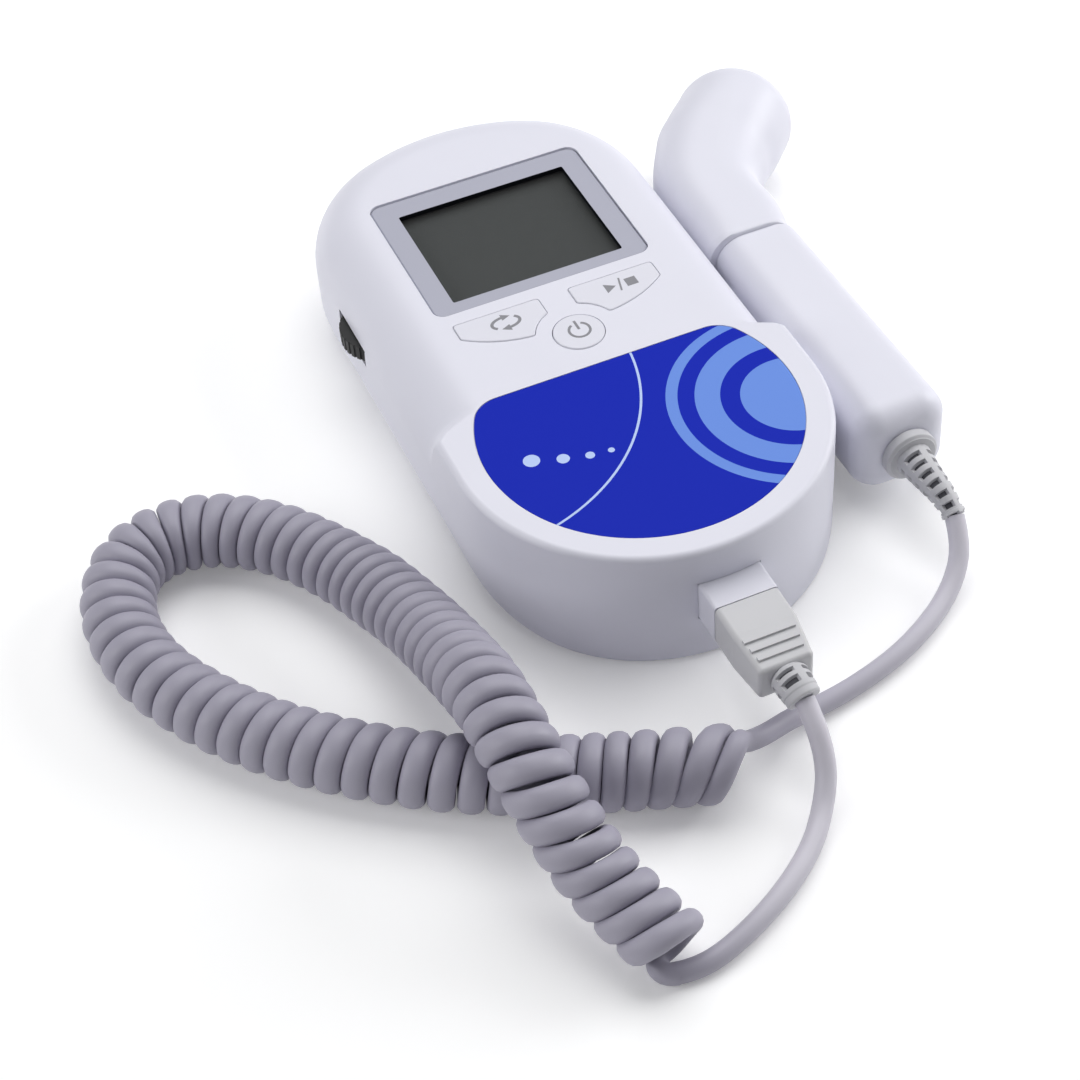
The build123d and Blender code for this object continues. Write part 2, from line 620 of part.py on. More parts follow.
def transducer_disc():
    return head_plane(HEAD_FACE - LENS_T - 1.4) * Cylinder(
        6.2, 1.4, align=(Align.CENTER, Align.CENTER, Align.MIN))


def probe_board():
    return block(HANDLE_X - 5.8, HANDLE_X + 5.8, -40, 5, HANDLE_Z - 0.8, HANDLE_Z + 0.8)


def probe_boot():
    """Collar, groove, bead and a tapering sleeve that bends down to the cord."""
    base = Vector(HANDLE_X, HANDLE_TAIL_Y, HANDLE_Z)
    tip = Vector(*BOOT_TIP)
    aim = unit(BOOT_TIP, PROBE_LEAD[1])
    body = rod(HANDLE_X, HANDLE_Z, HANDLE_TAIL_Y - BOOT_NECK, HANDLE_TAIL_Y + 3.0, 3.3)
    collar = rod(HANDLE_X, HANDLE_Z, HANDLE_TAIL_Y - 2.4, HANDLE_TAIL_Y, COLLAR_R)
    body += chamfer(collar.edges().sort_by(Axis.Y)[0], 0.6)
    body += rod(HANDLE_X, HANDLE_Z, HANDLE_TAIL_Y, HANDLE_TAIL_Y + 3.0, 4.0)
    body += rod(HANDLE_X, HANDLE_Z, HANDLE_TAIL_Y - BOOT_NECK, HANDLE_TAIL_Y - 3.1, 3.75)
    start = base + Vector(0, -BOOT_NECK, 0)
    middle = start * 0.5 + tip * 0.5 + Vector(0, -0.1, 0.7)
    return body + bent_boot([(start, (0, -1, 0), 3.2),
                             (middle, (tip - start).normalized(), 2.7), (tip, aim, 2.2)])


def probe_cradle():
    """Trough on the casing's right side that the probe's handle lies in."""
    y0, y1 = -30.0, 2.0
    wall = block(CRADLE_X, CRADLE_X + 1.1, y0, y1, 1.0, 15.0)
    floor = block(CRADLE_X, 56.2, y0, y1, 1.0, 2.9)
    lip = block(54.5, 56.2, y0, y1, 1.0, 7.5)
    body = wall + floor + lip
    outer = body.edges().filter_by(Axis.Y).filter_by(lambda e: e.center().X > 56)
    body = fillet(outer, 0.7)
    for y in CRADLE_PEGS:
        body += rod_x(HALF_WIDTH - WALL - 1.0, CRADLE_X + 0.5, y, 12.5, 1.4)
    return body


# ---------------------------------------------------------------- build

def nodes():
    whole = shell()
    made = {
        "front_case": front_case(whole),
        "rear_case": rear_case(whole),
        "battery_door": battery_door(whole),
        "lcd_bezel": lcd_bezel(),
        "lcd_window": lcd_window(),
        "lcd_panel": lcd_panel(),
        "lcd_tray": lcd_tray(),
        "lcd_strip": lcd_strip(),
        "label_panel": slab(label_outline(0), LABEL_Z, LABEL_Z + LABEL_T),
        "mode_button": side_key(-1),
        "start_stop_button": side_key(1),
        "power_button": power_button(),
        "keypad_mat": keypad_mat(),
        "main_board": main_board(),
        "board_chips": board_chips(),
        "board_screws": screws(BOARD_SCREWS, BOARD_Z - 1.2, 1.7, 1.2, 0.74, 4.0),
        "case_screws": screws(CASE_SCREWS, 1.2, 2.0, 1.6, 0.98, 10.0),
        "volume_wheel": volume_wheel(),
        "volume_pot": volume_pot(),
        "headphone_jack": headphone_jack(),
        "speaker_frame": speaker_frame(),
        "speaker_cone": speaker_cone(),
        "speaker_magnet": speaker_magnet(),
        "battery_left": battery(-7.6, 1),
        "battery_right": battery(7.6, -1),
        "battery_springs": battery_springs(),
        "battery_plates": battery_plates(),
        "socket_housing": socket_housing(),
        "socket_contacts": socket_contacts(),
        "plug_body": plug_body(),
        "plug_contacts": plug_contacts(),
        "plug_boot": plug_boot(),
        "probe_cradle": probe_cradle(),
        "probe_handle": probe_handle(),
        "probe_head": probe_head(),
        "probe_lens": probe_lens(),
        "transducer_disc": transducer_disc(),
        "probe_board": probe_board(),
        "probe_boot": probe_boot(),
        "cord_probe_lead": tube("probe lead", PROBE_LEAD, CORD_R),
        "cord_coil": tube("coil", COIL, COIL_R),
        "cord_plug_lead": tube("plug lead", PLUG_LEAD, CORD_R),
    }
    return made


os.makedirs("parts", exist_ok=True)
for name, solid in nodes().items():
    export_step(solid, f"parts/{name}.step")
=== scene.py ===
import math
import bpy
import bmesh
from mathutils import Matrix, Vector


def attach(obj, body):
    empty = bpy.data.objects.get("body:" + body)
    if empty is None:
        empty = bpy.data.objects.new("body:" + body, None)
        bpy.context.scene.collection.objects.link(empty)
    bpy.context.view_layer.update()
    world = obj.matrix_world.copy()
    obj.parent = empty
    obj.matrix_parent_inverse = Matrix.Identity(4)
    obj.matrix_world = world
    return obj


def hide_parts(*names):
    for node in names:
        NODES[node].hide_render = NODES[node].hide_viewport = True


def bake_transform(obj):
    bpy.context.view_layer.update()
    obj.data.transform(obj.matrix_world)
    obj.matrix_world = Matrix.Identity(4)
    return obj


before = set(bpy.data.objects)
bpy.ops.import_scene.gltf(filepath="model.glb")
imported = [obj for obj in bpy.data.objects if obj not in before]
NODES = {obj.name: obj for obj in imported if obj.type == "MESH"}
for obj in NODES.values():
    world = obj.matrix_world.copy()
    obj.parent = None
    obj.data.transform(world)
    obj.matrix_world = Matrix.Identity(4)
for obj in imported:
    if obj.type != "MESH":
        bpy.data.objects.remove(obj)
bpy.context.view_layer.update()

# ---------------------------------------------------------------- dimensions, millimetres

HALF_LENGTH, HALF_WIDTH, HEIGHT = 67.5, 34.2, 26.2
TOP_END_RADIUS, TOP_CORNER_RADIUS = 44.0, 28.0
UNDER_CHANGE = (-64.0, -30.0)
CRISP_RIM, SOFT_SHOULDER = 1.2, 11.0
RIM_CHANGE = (-23.0, -17.0)
UNDER_NOSE, UNDER_SIDE = 1.5, 7.0
WALL, PARTING_Z = 2.0, 5.0
DISPLAY_Y, BEZEL_Y = 24.85, 25.8
OPENING_W, OPENING_H, OPENING_CORNER = 38.0, 31.5, 2.2
BEZEL_W, BEZEL_H, BEZEL_BASE_Z, BEZEL_CORNER = 43.4, 36.4, 24.9, 2.3
BEZEL_GAP, KEY_GAP = 0.3, 0.13
POWER_Y, POWER_R = -7.7, 4.75
KEY_HOLLOW_R = 7.95
SIDE_KEY_CURVE = (5.6, 17.7, 22.75)
KEY_TOP_Z = 26.35
LABEL_R, LABEL_Y, LABEL_TOP_Y, LABEL_CORNER = 28.9, -33.5, -17.1, 6.0
LABEL_Z, LABEL_T = 25.85, 0.3
SOCKET_X, SOCKET_W, SOCKET_Z0, SOCKET_Z1 = 0.7, 11.8, 10.0, 18.5
WHEEL_SLOT_Y0, WHEEL_SLOT_Y1, WHEEL_SLOT_Z0, WHEEL_SLOT_Z1 = 15.6, 29.4, 13.1, 16.9
JACK_R, JACK_Z = 3.05, 14.5
POWER_GAP, LABEL_GAP, SOCKET_GAP = 0.15, 0.12, 0.05
KEY_CUT_Z, CUT_TOP = 22.0, 30.0
PLUG_Z, PLUG_Y1 = 14.25, -88.4
PLUG_BOOT_TIP = (1.0, -93.5, 13.5)
HANDLE_X, HANDLE_Z, HANDLE_SIZE, HANDLE_CORNER = 44.9, 12.3, 18.5, 5.5
HANDLE_TAIL_Y, SEAM_Y = -49.2, 8.4
SEAM_W, SEAM_SHIFT = 17.6, -0.45
HEAD_HEIGHT, HEAD_CORNER = 20.3, 6.0
HEAD_BEND_Y, HEAD_CENTRE = 31.0, (61.1, 52.6)
HEAD_R, HEAD_FACE, HEAD_ROUND = 12.2, 7.7, 8.0
BOOT_TIP = (45.7, -65.0, 9.5)
CORD_R, COIL_R = 1.8, 6.6

PROBE_LEAD = [
    BOOT_TIP, (45.0, -68.5, 6.8), (42.6, -72.0, 3.8), (38.0, -75.7, 1.85), (31.8, -79.7, CORD_R),
    (25.4, -82.8, CORD_R), (19.0, -84.9, CORD_R), (12.6, -86.4, CORD_R), (6.6, -87.4, 2.1), (0.8, -88.8, 3.6),
    (-4.6, -91.0, 5.0), (-9.6, -93.0, 7.6),
]
COIL = [
    (-13.4, -94.9, COIL_R), (-27.9, -89.6, COIL_R), (-42.3, -83.6, COIL_R), (-56.1, -76.2, COIL_R),
    (-69.7, -65.8, COIL_R), (-80.2, -55.3, COIL_R), (-87.8, -44.5, COIL_R), (-93.1, -33.6, COIL_R),
    (-95.0, -22.5, COIL_R), (-93.2, -12.9, COIL_R), (-88.6, -6.2, COIL_R), (-81.0, -3.5, COIL_R),
    (-72.7, -5.2, COIL_R), (-64.3, -11.1, COIL_R), (-57.5, -19.9, COIL_R), (-51.8, -31.3, COIL_R + 0.4),
    (-48.2, -45.8, 9.7), (-46.8, -61.1, 14.7), (-46.3, -75.5, 20.2), (-46.4, -88.7, 20.2),
    (-44.9, -99.8, 14.7), (-41.9, -110.7, 8.6), (-36.9, -123.1, COIL_R),
]
PLUG_LEAD = [
    (-31.0, -124.9, CORD_R), (-24.9, -122.9, CORD_R),
    (-18.6, -120.0, CORD_R), (-12.6, -116.4, CORD_R), (-7.0, -112.0, CORD_R), (-2.9, -107.4, 2.6),
    (-0.2, -103.7, 5.4), (0.8, -100.6, 8.4), (1.0, -97.0, 11.6), PLUG_BOOT_TIP,
]


# ---------------------------------------------------------------- small helpers

def m(p):
    """A point given in millimetres, in metres."""
    return Vector(p) * 0.001


def colour(text):
    """An sRGB hex colour as linear RGBA."""
    parts = [int(text[i:i + 2], 16) / 255 for i in (1, 3, 5)]
    return [c / 12.92 if c <= 0.04045 else ((c + 0.055) / 1.055) ** 2.4 for c in parts] + [1.0]


def add(tree, kind, inputs=None, **settings):
    """One shader node: settings are its properties, inputs its socket values or links."""
    made = tree.nodes.new(kind)
    for name, value in settings.items():
        setattr(made, name, value)
    for name, value in (inputs or {}).items():
        if isinstance(value, bpy.types.NodeSocket):
            tree.links.new(value, made.inputs[name])
        else:
            made.inputs[name].default_value = value
    return made


def material(name, base, roughness, grain=0.0, grain_mm=0.4, **more):
    """A principled material with an optional fine moulded grain, which is sized in real millimetres."""
    made = bpy.data.materials.new(name)
    made.use_nodes = True
    tree = made.node_tree
    shader = tree.nodes["Principled BSDF"]
    shader.inputs["Base Color"].default_value = colour(base)
    shader.inputs["Roughness"].default_value = roughness
    for socket, value in more.items():
        shader.inputs[socket.replace("_", " ")].default_value = value
    if grain:
        place = add(tree, "ShaderNodeTexCoord")
        noise = add(tree, "ShaderNodeTexNoise",
                    {"Vector": place.outputs["Object"], "Scale": 1000 / grain_mm, "Detail": 3.0})
        bump = add(tree, "ShaderNodeBump",
                   {"Height": noise.outputs["Fac"], "Strength": grain, "Distance": 0.00005})
        tree.links.new(bump.outputs["Normal"], shader.inputs["Normal"])
        # a slow drift of tone and gloss, as handled plastic has
        drift = add(tree, "ShaderNodeTexNoise",
                    {"Vector": place.outputs["Object"], "Scale": 70.0, "Detail": 2.0})
        gloss = add(tree, "ShaderNodeMapRange", {"Value": drift.outputs["Fac"], "To Min": roughness - 0.05,
                                                 "To Max": roughness + 0.05})
        tree.links.new(gloss.outputs[0], shader.inputs["Roughness"])
        tone = add(tree, "ShaderNodeMix", data_type="RGBA")
        tree.links.new(drift.outputs["Fac"], tone.inputs[0])
        tone.inputs[6].default_value = [min(c * 1.015, 1.0) for c in colour(base)]
        tone.inputs[7].default_value = [c * 0.985 for c in colour(base)[:3]] + [1.0]
        tree.links.new(tone.outputs[2], shader.inputs["Base Color"])
    return made


def mesh_object(name, points, faces, mat, smooth_angle=35):
    """A mesh in millimetres as an object at the origin."""
    data = bpy.data.meshes.new(name)
    data.from_pydata([m(p) for p in points], [], faces)
    data.validate()
    obj = bpy.data.objects.new(name, data)
    bpy.context.scene.collection.objects.link(obj)
    data.materials.append(mat)
    smooth(obj, smooth_angle)
    return obj


def smooth(obj, angle=35):
    """Smooth shading with sharp edges above the angle, and normals weighted by face area."""
    data = obj.data
    work = bmesh.new()
    work.from_mesh(data)
    bmesh.ops.recalc_face_normals(work, faces=work.faces)
    for face in work.faces:
        face.smooth = True
    for edge in work.edges:
        edge.smooth = len(edge.link_faces) == 2 and edge.calc_face_angle(0) < math.radians(angle)
    work.to_mesh(data)
    work.free()
    data.update()


def bake(obj):
    """Apply an object's modifiers to a plain mesh."""
    graph = bpy.context.evaluated_depsgraph_get()
    baked = bpy.data.meshes.new_from_object(obj.evaluated_get(graph))
    obj.modifiers.clear()
    old = obj.data
    obj.data = baked
    if old.users == 0:
        bpy.data.meshes.remove(old)
    return obj


def weight_normals(obj):
    """Large flat faces keep a flat look beside their rounded edges."""
    obj.modifiers.new("weights", "WEIGHTED_NORMAL").keep_sharp = True
    return bake(obj)


def grid_faces(rows, columns, closed=True):
    """Quads over rows of points, each row a ring when closed."""
    faces = []
    for i in range(rows - 1):
        for j in range(columns if closed else columns - 1):
            k = (j + 1) % columns
            faces.append((i * columns + j, i * columns + k, (i + 1) * columns + k, (i + 1) * columns + j))
    return faces


def ring_mesh(name, rings, mat, smooth_angle=35):
    """A skin over closed rings of points, capped at both ends."""
    count = len(rings[0])
    points = [p for ring in rings for p in ring]
    faces = grid_faces(len(rings), count)
    faces.append(tuple(range(count))[::-1])
    faces.append(tuple(range(len(points) - count, len(points))))
    return mesh_object(name, points, faces, mat, smooth_angle)


def prism(name, outline, z0, z1, mat):
    """A flat outline made solid from z0 to z1."""
    return ring_mesh(name, [[(x, y, z0) for x, y in outline], [(x, y, z1) for x, y in outline]], mat)


def cut(obj, tools):
    """Subtract each tool from the object and remove the tools."""
    for tool in tools:
        step = obj.modifiers.new("cut", "BOOLEAN")
        step.operation = "DIFFERENCE"
        step.solver = "EXACT"
        step.object = tool
        bake(obj)
        bpy.data.objects.remove(tool)
    return obj


def arc_points(cx, cy, radius, start, end, count):
    """Points on an arc, in degrees anticlockwise from +X."""
    turns = [math.radians(start + (end - start) * i / count) for i in range(count + 1)]
    return [(cx + radius * math.cos(a), cy + radius * math.sin(a)) for a in turns]


def rounded_rectangle(cx, cy, width, height, corner, count=8):
    """The outline of a rectangle with round corners."""
    hx, hy = width / 2 - corner, height / 2 - corner
    points = []
    for sx, sy, start in ((1, 1, 0), (-1, 1, 90), (-1, -1, 180), (1, -1, 270)):
        points += arc_points(cx + sx * hx, cy + sy * hy, corner, start, start + 90, count)
    return points


def superellipse(half_x, half_z, power, count=64):
    """A rounded square (high power) or circle (power 2) in its own plane."""
    out = []
    for i in range(count):
        a = 2 * math.pi * i / count
        c, s = math.cos(a), math.sin(a)
        r = (abs(c / half_x) ** power + abs(s / half_z) ** power) ** (-1 / power)
        out.append((r * c, r * s))
    return out


def ease(start, end, value):
    """From 0 at the start to 1 at the end, level at both."""
    t = min(max((value - start) / (end - start), 0.0), 1.0)
    return t * t * (3 - 2 * t)


def finish_piece(obj, body, slot, *replaced):
    """Give a piece its body and hide the nodes that it replaces. The slot is not used."""
    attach(obj, body)
    if replaced:
        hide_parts(*replaced)
    return obj


# ---------------------------------------------------------------- camera

def make_camera():
    """An 80 mm lens above the left front corner, tilted a little."""
    yaw, pitch, tilt = math.radians(19.89), math.radians(45.88), math.radians(-5.0)
    forward = Vector((math.sin(yaw) * math.cos(pitch), math.cos(yaw) * math.cos(pitch), -math.sin(pitch)))
    level = Vector((math.cos(yaw), -math.sin(yaw), 0))
    above = level.cross(forward)
    right = level * math.cos(tilt) + above * math.sin(tilt)
    up = above * math.cos(tilt) - level * math.sin(tilt)
    data = bpy.data.cameras.new("camera")
    data.lens, data.sensor_width = 80, 36
    data.clip_start, data.clip_end = 0.01, 20
    camera = bpy.data.objects.new("camera", data)
    bpy.context.scene.collection.objects.link(camera)
    rotation = Matrix((right, up, -forward)).transposed().to_4x4()
    camera.matrix_world = Matrix.Translation(m((-121.9, -314.3, 313.1))) @ rotation
    bpy.context.scene.camera = camera


make_camera()

# ---------------------------------------------------------------- materials

CASE = material("moulded_abs_white_lavender", "#E5E5F0", 0.42, grain=0.12)              # casing and probe
BEZEL = material("satin_lavender_grey_frame", "#AFB0BF", 0.45, grain=0.1)               # display frame
DARK_OPENING_WALL = material("dark_display_opening_wall", "#15171C", 0.6, Specular_IOR_Level=0.1)   # darker colour on the frame's faces that look into the display opening
LCD = material("lcd_glass_dark_grey", "#303434", 0.5, Specular_IOR_Level=0.1)           # blank display
WINDOW = material("clear_acrylic_window", "#FFFFFF", 0.08, Alpha=0.02, Specular_IOR_Level=0.2)  # over the display
TRAY = material("moulded_tray_black", "#1A1C20", 0.6)                                   # display tray
ELASTOMER = material("contact_rubber_black", "#34343A", 0.7)                            # display contacts
KEY = material("satin_key_caps", "#E2E2EC", 0.42, grain=0.12)                           # keys
MAT = material("silicone_keypad", "#C8CACC", 0.6)                                       # keypad mat
BOARD = material("green_solder_mask", "#146A34", 0.4)                                   # circuit boards
CHIP = material("black_epoxy", "#18181A", 0.5)                                          # chips
STEEL = material("zinc_plated_steel", "#C8C8CC", 0.3, Metallic=1.0)                     # screws
WHEEL = material("black_thumbwheel", "#0A0A0B", 0.5)                                    # volume wheel
BLACK = material("black_moulding", "#1C1C1E", 0.4)                                      # jack, plug tongue, pot
SOCKET = material("socket_off_white", "#DCDCE6", 0.42, grain=0.1)                       # plug socket
GOLD = material("gold_plate", "#E0B860", 0.25, Metallic=1.0)                            # contacts
BASKET = material("black_painted_steel", "#2C2C2E", 0.45)                               # loudspeaker frame
PAPER = material("black_paper_cone", "#1E1E1E", 0.85)                                   # loudspeaker cone
MAGNET = material("plated_magnet_cup", "#A8A8AC", 0.35, Metallic=1.0)                   # loudspeaker magnet
CELL = material("plain_cell_sleeve", "#C4C8CC", 0.35)                                   # batteries
LENS = material("acoustic_window", "#CDCDD6", 0.3)                                      # probe window
CERAMIC = material("fired_ceramic", "#CBBE94", 0.5)                                     # transducer
BOOT = material("grey_strain_relief", "#C6C6CA", 0.5, grain=0.1)                        # sleeves
SLOT = material("slot_shadow_grey", "#4C4C52", 0.7)                                     # slots in the sleeves
PLUG = material("grey_plug_overmould", "#CBCBCE", 0.45, grain=0.12)                     # plug
PRINT = material("key_print_grey", "#8A8A90", 0.5)                                      # key symbols
GROOVE = material("key_outline_shadow", "#CDCDD8", 0.6)                                 # key gaps


def label_material():
    """Deep blue overlay with light-blue ripples from the right and a pale sweep on the left."""
    made = bpy.data.materials.new("blue_printed_overlay")
    made.use_nodes = True
    tree = made.node_tree
    shader = tree.nodes["Principled BSDF"]
    shader.inputs["Roughness"].default_value = 0.5
    shader.inputs["Specular IOR Level"].default_value = 0.12
    place = add(tree, "ShaderNodeTexCoord").outputs["Object"]

    def distance(x, y):
        """Distance in millimetres, seen from above, from a point of the label."""
        flat = add(tree, "ShaderNodeVectorMath", {0: place, 1: (1000, 1000, 0)}, operation="MULTIPLY")
        away = add(tree, "ShaderNodeVectorMath", {0: flat.outputs[0], 1: (x, y, 0)}, operation="DISTANCE")
        return away.outputs["Value"]

    def band(source, low, high):
        """1 where the source lies between the two."""
        over = add(tree, "ShaderNodeMath", {0: source, 1: low}, operation="GREATER_THAN")
        under = add(tree, "ShaderNodeMath", {0: source, 1: high}, operation="LESS_THAN")
        both = add(tree, "ShaderNodeMath", {0: over.outputs[0], 1: under.outputs[0]}, operation="MULTIPLY")
        return both.outputs[0]

    def either(a, b):
        return add(tree, "ShaderNodeMath", {0: a, 1: b}, operation="MAXIMUM").outputs[0]

    ripple = distance(27.0, -40.0)
    light = either(band(ripple, -1, 9.5), either(band(ripple, 13.0, 17.5), band(ripple, 20.5, 22.6)))
    sweep = distance(-34.0, -12.0)
    pale = band(sweep, 40.0, 40.45)
    for x, y, r in ((-21.0, -34.6, 1.5), (-15.9, -36.6, 1.15), (-11.4, -37.9, 0.85), (-7.6, -38.4, 0.6)):
        pale = either(pale, band(distance(x, y), -1, r))
    first = add(tree, "ShaderNodeMix", data_type="RGBA")
    first.inputs[6].default_value = colour("#0221B4")
    first.inputs[7].default_value = colour("#6E94E6")
    tree.links.new(light, first.inputs[0])
    second = add(tree, "ShaderNodeMix", data_type="RGBA")
    tree.links.new(first.outputs[2], second.inputs[6])
    second.inputs[7].default_value = colour("#BED2FA")
    tree.links.new(pale, second.inputs[0])
    tree.links.new(second.outputs[2], shader.inputs["Base Color"])
    return made


LABEL = label_material()


def cord_material():
    """Soft lavender-grey jacket, with painted shade: a darker colour where it is wound, for the shade between the
    turns.
    """
    made = material("lavender_grey_cord_jacket", "#D4D1DB", 0.5, grain=0.06)
    tree = made.node_tree
    shader = tree.nodes["Principled BSDF"]
    plain = shader.inputs["Base Color"].links[0].from_socket
    wound = add(tree, "ShaderNodeAttribute", attribute_name="wound")
    mixed = add(tree, "ShaderNodeMix", data_type="RGBA")
    tree.links.new(wound.outputs["Fac"], mixed.inputs[0])
    tree.links.new(plain, mixed.inputs[6])
    # painted shade: the wound turns' darker colour stands in for the shade between them
    mixed.inputs[7].default_value = colour("#A6A3B2")
    tree.links.new(mixed.outputs[2], shader.inputs["Base Color"])
    return made


CORD = cord_material()


# ---------------------------------------------------------------- cords

def route_points(name, route, resolution=24):
    """Points along the route's own smooth curve, with more between each two where the resolution is higher."""
    data = bpy.data.curves.new(name, "CURVE")
    data.dimensions = "3D"
    spline = data.splines.new("NURBS")
    spline.points.add(len(route) - 1)
    for point, place in zip(spline.points, route):
        point.co = (*m(place), 1)
    spline.order_u = 3
    spline.use_endpoint_u = True
    spline.resolution_u = resolution
    obj = bpy.data.objects.new(name, data)
    bpy.context.scene.collection.objects.link(obj)
    graph = bpy.context.evaluated_depsgraph_get()
    line = bpy.data.meshes.new_from_object(obj.evaluated_get(graph))
    points = [v.co * 1000 for v in line.vertices]
    bpy.data.objects.remove(obj)
    bpy.data.meshes.remove(line)
    return points


def evenly(points, step):
    """The same line with points about one step apart, and the length along it."""
    lengths = [0.0]
    for a, b in zip(points, points[1:]):
        lengths.append(lengths[-1] + (b - a).length)
    count = round(lengths[-1] / step)
    out, k = [], 0
    for i in range(count + 1):
        s = lengths[-1] * i / count
        while k < len(points) - 2 and lengths[k + 1] < s:
            k += 1
        share = (s - lengths[k]) / max(lengths[k + 1] - lengths[k], 1e-9)
        out.append(points[k].lerp(points[k + 1], min(max(share, 0.0), 1.0)))
    return out, lengths[-1]


TURN_R = 5.0                                   # centre of the cord from the coil's line
COIL_CORD_WIDE, COIL_CORD_AREA = 2.3, 3.2      # half width of the cord pressed flat in its turns
COIL_START, COIL_END = math.radians(80), math.radians(225)
STEPS_PER_TURN = 16
RINGS_PER_STEP = 3
RING_POINTS = 14
# length along the coil, and there: the pitch, how far the turns lean back on their top far side, and
# how far they lean forward at the top
WINDING = [(0, 4.2, 2.2, 0), (3.2, 4.7, 2.1, 0), (4.5, 4.9, 1.85, 0), (9.2, 4.9, 0.8, 0), (14, 4.3, 0.25, 0),
           (18, 4.0, 0, 0), (22, 4.1, 0, 0), (30, 4.55, 0, 0), (45, 4.8, 0, 0), (60, 4.65, 0, 0), (75, 4.3, 0, 0),
           (85, 4.3, 0, 0), (96, 4.65, 0, 0), (112, 4.4, 0, 0), (130, 4.35, 0, 0), (138, 4.0, 0, 0),
           (150, 4.2, 0, 0), (165, 4.0, 0, 0), (174, 3.75, 0, 0), (188, 3.72, 0, 0), (194, 4.15, 0, 0.1),
           (212, 4.15, 0, 0.3), (220, 4.6, 0, 0.5), (228, 4.5, 0, 0.8), (240, 4.7, 0, 1.1), (262, 4.75, 0, 1.5),
           (280, 4.9, 0, 1.8)]
# the last turn runs under to the left and curls forward to where the plug's lead begins
CURL = [(-36.0, -120.1, 2.5), (-38.0, -120.4, 1.95), (-39.3, -121.6, 1.85), (-39.4, -123.1, 1.8),
        (-38.4, -124.4, 1.8), (-36.9, -124.8, 1.8)]
LEAD_JOIN, LEAD_AWAY = (-37.9, -124.4, 1.8), (-35.7, -125.0, 1.8)
# how far the far side of the first turn swings out along the line, and the angles over which it comes and goes
FIRST_SWING = 1.8
SWING_COMES, SWING_GOES = ([math.radians(a) for a in pair] for pair in ((240, 320), (350, 450)))
# the raised part of the coil is a little looser: by how much, and the lengths over which it comes and goes
LOOSE_BY, LOOSE_COMES, LOOSE_GOES = 0.25, (174, 186), (222, 234)


def between(table, value):
    """The table's later columns at a value of its first, in straight lines between its entries."""
    for low, high in zip(table, table[1:]):
        if value <= high[0]:
            share = (value - low[0]) / (high[0] - low[0])
            return [a + (b - a) * share for a, b in zip(low[1:], high[1:])]
    return table[-1][1:]


def coil_line():
    """Close points on the coil's line, and at each its direction, its bend and the winding of the turns."""
    route, length = evenly(route_points("coil_route", COIL), 0.05)
    count = len(route)
    step = length / (count - 1)
    directions = [(route[min(i + 20, count - 1)] - route[max(i - 20, 0)]).normalized() for i in range(count)]
    bends = []
    for i in range(count):
        low, high = max(i - 60, 0), min(i + 60, count - 1)
        bends.append((directions[high] - directions[low]) / (step * (high - low)))
    winding = [between(WINDING, i * step) for i in range(count)]
    # stretched by under one in a hundred, so that the last turn ends on its way under
    ends_at = count - 1 - round(0.5 / step)
    wound = sum(step / pitch for pitch, _, _ in winding[:ends_at])
    part_turn = (COIL_END - COIL_START) / (2 * math.pi)
    stretch = wound / (round(wound - part_turn) + part_turn)
    return route[:ends_at + 1], step, directions, bends, [(a * stretch, b, c) for a, b, c in winding]


def turn_points(coil):
    """Control points of the cord wound round the coil's line."""
    route, step, directions, _, winding = coil
    points, turn, next_turn = [], COIL_START, COIL_START
    for i, centre in enumerate(route):
        pitch, back, forward = winding[i]
        if turn >= next_turn:
            side = directions[i].cross(Vector((0, 0, 1))).normalized()
            over = side.cross(directions[i])
            loose = LOOSE_BY * ease(*LOOSE_COMES, i * step) * (1 - ease(*LOOSE_GOES, i * step))
            reach = (TURN_R + loose) / math.cos(math.pi / STEPS_PER_TURN)
            upright = math.sqrt(1 - (forward / TURN_R) ** 2)
            swing = FIRST_SWING * ease(*SWING_COMES, turn) * (1 - ease(*SWING_GOES, turn))
            shift = forward * math.sin(turn) - back * math.cos(turn - math.pi / 4) - swing
            points.append(centre + directions[i] * shift
                          + (side * math.cos(turn) + over * (upright * math.sin(turn))) * reach)
            next_turn += 2 * math.pi / STEPS_PER_TURN
        turn += 2 * math.pi * step / pitch
    return points


def coil_sections(path, turns, coil):
    """Outward direction and section of the cord at each point of its path that is in the coil. Turns that
    crowd on the inside of a bend press each other narrow."""
    route, step, directions, bends, winding = coil
    first, last = (min(range(len(path)), key=lambda i: (path[i] - end).length) for end in (turns[0], turns[-1]))
    half_turn = STEPS_PER_TURN * RINGS_PER_STEP // 2
    window = round(5.0 / step)
    outward, sections, k = {}, {}, 0
    for i in range(first, last + 1):
        # a leaning turn swings to and fro along the line, so the nearest point is looked for both ways
        near = range(max(k - window, 0), min(k + window, len(route)), 8)
        k = min(near, key=lambda j: (abs((path[i] - route[j]).dot(directions[j]))
                                     + 0.2 * (path[i] - route[j]).length))
        outward[i] = (path[i] - route[k] - directions[k] * (path[i] - route[k]).dot(directions[k])).normalized()
        pitch, _, forward = winding[k]
        spacing = pitch * (1 - TURN_R * bends[k].dot(outward[i])) * math.sqrt(1 - (forward / TURN_R) ** 2)
        wide = min(COIL_CORD_WIDE, 0.49 * spacing)
        deep = min(max(COIL_CORD_AREA / wide, 1.6), 1.95)
        share = ease(first, first + half_turn, i) * ease(last, last - half_turn, i)
        sections[i] = (CORD_R + (deep - CORD_R) * share, CORD_R + (wide - CORD_R) * share, 2 + 0.3 * share)
    return outward, sections


